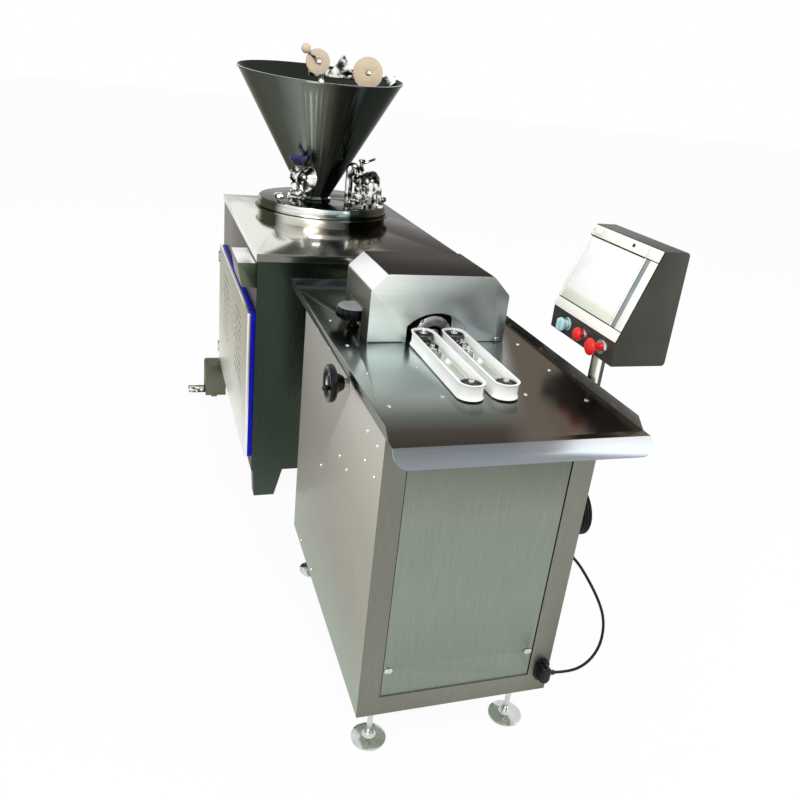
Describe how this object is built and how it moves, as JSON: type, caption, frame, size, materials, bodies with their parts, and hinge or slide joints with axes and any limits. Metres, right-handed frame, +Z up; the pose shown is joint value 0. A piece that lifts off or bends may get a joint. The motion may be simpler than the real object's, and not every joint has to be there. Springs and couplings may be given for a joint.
{
  "type": "sausage filling machine",
  "caption": "Cone hopper vacuum filler on a cabinet, feeding a worktable linker with grooved belts, a twisting ring under a hood and an operator console on a post.",
  "frame": {"origin": "middle of the footprint, on the floor", "axes": "+X to the operator console's side, +Y from the linker's front to the filler's back, +Z up"},
  "size_m": [1.0398, 2.767, 1.772],
  "materials": {
    "satin_steel": "satin rolled stainless steel",
    "olive_steel": "satin stainless steel, olive grey",
    "polished_steel": "polished stainless steel",
    "dark_steel": "dark satin stainless steel",
    "bright_steel": "bright machined stainless steel",
    "white_belt": "white polyurethane",
    "black_plastic": "moulded black plastic",
    "cable_rubber": "black cable jacket",
    "ivory_plastic": "ivory bezel",
    "screen_glass": "pale screen glass",
    "red_plastic": "red button",
    "pale_blue_plastic": "pale blue knob",
    "blue_seal": "blue silicone seal",
    "nylon": "beige nylon",
    "painted_cast": "grey painted casting",
    "blue_plastic": "navy valve handle"
  },
  "bodies": {
    "frame": {"front_frame": "olive_steel", "front_service_panel": "satin_steel", "left_side_panel": "satin_steel", "right_side_panel": "satin_steel", "back_and_base": "satin_steel", "levelling_feet": "bright_steel", "worktable": "polished_steel", "panel_screws": "bright_steel", "left_belt": "white_belt", "right_belt": "white_belt", "pulley_pins": "bright_steel", "belt_beams": "polished_steel", "belt_tensioners": "bright_steel", "linker_drive": "painted_cast", "ring_housing": "dark_steel", "stuffing_tube": "bright_steel", "hood_hinges": "bright_steel", "transfer_pipe": "polished_steel", "union_nuts": "bright_steel", "console_post": "polished_steel", "cable_glands": "black_plastic", "control_cable": "cable_rubber", "spare_cable_coil": "cable_rubber", "filler_base": "satin_steel", "filler_casing": "dark_steel", "filler_left_wall": "satin_steel", "filler_top_plate": "polished_steel", "side_box": "satin_steel", "pedal_housing": "satin_steel", "pump_housing": "polished_steel", "pump_drive": "painted_cast"},
    "left_lock": {"left_panel_lock": "bright_steel"},
    "right_lock": {"right_panel_lock": "bright_steel"},
    "wheel": {"handwheel": "black_plastic", "handwheel_shaft": "bright_steel"},
    "left_drive": {"left_drive_pulley": "dark_steel"},
    "left_idler": {"left_idler_pulley": "dark_steel"},
    "right_drive": {"right_drive_pulley": "dark_steel"},
    "right_idler": {"right_idler_pulley": "dark_steel"},
    "ring": {"twist_ring": "bright_steel"},
    "hood_body": {"hood": "satin_steel"},
    "knob": {"setting_knob": "black_plastic"},
    "console": {"console_housing": "dark_steel", "console_bezel": "ivory_plastic", "console_screen": "screen_glass", "button_collars": "bright_steel"},
    "near_stop": {"near_stop_button": "red_plastic"},
    "far_stop": {"far_stop_button": "red_plastic"},
    "selector": {"selector_knob": "pale_blue_plastic"},
    "door": {"side_door": "satin_steel", "door_gasket": "blue_seal"},
    "pedal": {"foot_pedal": "bright_steel"},
    "hopper_unit": {"lid": "polished_steel", "hopper": "dark_steel", "valve_bodies": "bright_steel"},
    "left_lever": {"left_valve_lever": "blue_plastic"},
    "right_lever": {"right_valve_lever": "bright_steel"},
    "scraper_body": {"scraper": "bright_steel", "nylon_discs": "nylon"},
    "rotor": {"pump_rotor": "bright_steel"}
  },
  "joints": [
    {"name": "left_lock_turn", "type": "hinge", "parent": "frame", "child": "left_lock", "pos_m": [-0.16241, -1.2575, 0.3], "axis": [0, -1, 0], "range_deg": [0, 90]},
    {"name": "right_lock_turn", "type": "hinge", "parent": "frame", "child": "right_lock", "pos_m": [0.23659, -1.2575, 0.3], "axis": [0, -1, 0], "range_deg": [0, 90]},
    {"name": "wheel_spin", "type": "hinge", "parent": "frame", "child": "wheel", "pos_m": [-0.23591, -0.9455, 0.976], "axis": [1, 0, 0], "continuous": true},
    {"name": "left_drive_spin", "type": "hinge", "parent": "frame", "child": "left_drive", "pos_m": [0.01659, -0.7495, 1], "axis": [0, 0, 1], "continuous": true},
    {"name": "left_idler_spin", "type": "hinge", "parent": "frame", "child": "left_idler", "pos_m": [0.01659, -1.1115, 1], "axis": [0, 0, 1], "continuous": true},
    {"name": "right_drive_spin", "type": "hinge", "parent": "frame", "child": "right_drive", "pos_m": [0.10959, -0.7495, 1], "axis": [0, 0, 1], "continuous": true},
    {"name": "right_idler_spin", "type": "hinge", "parent": "frame", "child": "right_idler", "pos_m": [0.10959, -1.1115, 1], "axis": [0, 0, 1], "continuous": true},
    {"name": "ring_spin", "type": "hinge", "parent": "frame", "child": "ring", "pos_m": [0.06309, -0.7115, 1.023], "axis": [0, 1, 0], "continuous": true},
    {"name": "hood_tilt", "type": "hinge", "parent": "frame", "child": "hood_body", "pos_m": [0.06309, -0.4595, 1.018], "axis": [-1, 0, 0], "range_deg": [0, 65]},
    {"name": "knob_spin", "type": "hinge", "parent": "frame", "child": "knob", "pos_m": [-0.14091, -0.5675, 1.03], "axis": [0, 0, 1], "continuous": true},
    {"name": "console_swivel", "type": "hinge", "parent": "frame", "child": "console", "pos_m": [0.40909, -1.0375, 1.096], "axis": [0, 0, 1], "range_deg": [-45, 45]},
    {"name": "near_stop_press", "type": "slide", "parent": "console", "child": "near_stop", "axis": [1, 0, 0], "range_m": [0, 0.004]},
    {"name": "far_stop_press", "type": "slide", "parent": "console", "child": "far_stop", "axis": [1, 0, 0], "range_m": [0, 0.004]},
    {"name": "selector_turn", "type": "hinge", "parent": "console", "child": "selector", "pos_m": [0.36409, -0.9275, 1.129], "axis": [-1, 0, 0], "range_deg": [-45, 45]},
    {"name": "door_swing", "type": "hinge", "parent": "frame", "child": "door", "pos_m": [-0.35491, 1.2825, 0.19], "axis": [0, 0, -1], "range_deg": [0, 110]},
    {"name": "pedal_press", "type": "hinge", "parent": "frame", "child": "pedal", "pos_m": [-0.41991, 1.2425, 0.03], "axis": [0, -1, 0], "range_deg": [0, 10], "stiffness_Nm_per_rad": 6, "springref_deg": -6.88},
    {"name": "hopper_tilt", "type": "hinge", "parent": "frame", "child": "hopper_unit", "pos_m": [0.07409, 1.2445, 1.1], "axis": [-1, 0, 0], "range_deg": [0, 70]},
    {"name": "left_valve_turn", "type": "hinge", "parent": "hopper_unit", "child": "left_lever", "pos_m": [-0.08191, 0.7545, 1.238], "axis": [0, 0, -1], "range_deg": [0, 90]},
    {"name": "right_valve_turn", "type": "hinge", "parent": "hopper_unit", "child": "right_lever", "pos_m": [0.20609, 0.7565, 1.238], "axis": [0, 0, 1], "range_deg": [0, 90]},
    {"name": "scraper_spin", "type": "hinge", "parent": "hopper_unit", "child": "scraper_body", "pos_m": [0.03759, 0.9265, 1.12], "axis": [0, 0, 1], "continuous": true},
    {"name": "rotor_spin", "type": "hinge", "parent": "frame", "child": "rotor", "pos_m": [0.07409, 0.9185, 0.905], "axis": [0, 0, 1], "continuous": true}
  ],
  "couplings": [
    {"joint": "left_idler_spin", "follows": "left_drive_spin", "ratio": 1},
    {"joint": "right_drive_spin", "follows": "left_drive_spin", "ratio": -1},
    {"joint": "right_idler_spin", "follows": "left_drive_spin", "ratio": -1}
  ]
}
